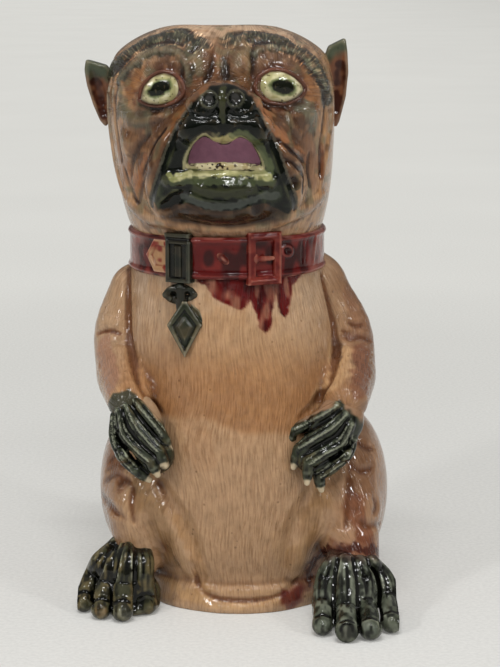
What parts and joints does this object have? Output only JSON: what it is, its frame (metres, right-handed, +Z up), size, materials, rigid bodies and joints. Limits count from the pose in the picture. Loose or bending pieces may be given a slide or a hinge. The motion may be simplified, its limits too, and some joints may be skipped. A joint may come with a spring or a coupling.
{
  "type": "dog pitcher",
  "caption": "Glazed earthenware pitcher shaped as a begging pug, filled through the crown, poured through the open mouth, with a loop handle at the back.",
  "frame": {"origin": "middle of the whole part's outline, on the surface that it stands on", "axes": "+Z up, the dog looks along -Y, its own left side is at +X, the handle is at +Y"},
  "size_m": [0.139, 0.1806, 0.2666],
  "materials": {
    "tan_glaze": "glossy tan lead glaze with brushed brown",
    "brown_glaze": "glossy red-brown glaze, sponged darker",
    "dark_glaze": "glossy green-black glaze, thin on ridges",
    "crimson_glaze": "glossy crimson glaze that ran in firing",
    "cream_glaze": "glossy cream glaze, crazed",
    "lip_glaze": "glossy yellow-green glaze"
  },
  "bodies": {
    "root": {"base_plinth": "tan_glaze", "torso_shell": "tan_glaze", "head_shell": "brown_glaze", "lower_lip": "dark_glaze", "muzzle_right": "dark_glaze", "muzzle_left": "dark_glaze", "upper_lip": "lip_glaze", "nose": "dark_glaze", "lower_teeth": "cream_glaze", "eye_right": "cream_glaze", "eye_left": "cream_glaze", "eye_rim_right": "dark_glaze", "eye_rim_left": "dark_glaze", "brow_right": "dark_glaze", "brow_left": "dark_glaze", "ear_right": "brown_glaze", "ear_left": "brown_glaze", "collar_band": "crimson_glaze", "strap_keeper": "dark_glaze", "collar_tip": "crimson_glaze", "keeper_ring": "dark_glaze", "pendant_tag": "dark_glaze", "buckle_frame": "crimson_glaze", "buckle_prong": "crimson_glaze", "collar_rivet": "crimson_glaze", "haunch_right": "tan_glaze", "haunch_left": "tan_glaze", "hind_foot_right": "dark_glaze", "hind_foot_left": "dark_glaze", "foreleg_right": "tan_glaze", "foreleg_left": "tan_glaze", "forepaw_right": "dark_glaze", "forepaw_left": "dark_glaze", "handle": "tan_glaze", "tail": "tan_glaze"}
  },
  "joints": []
}
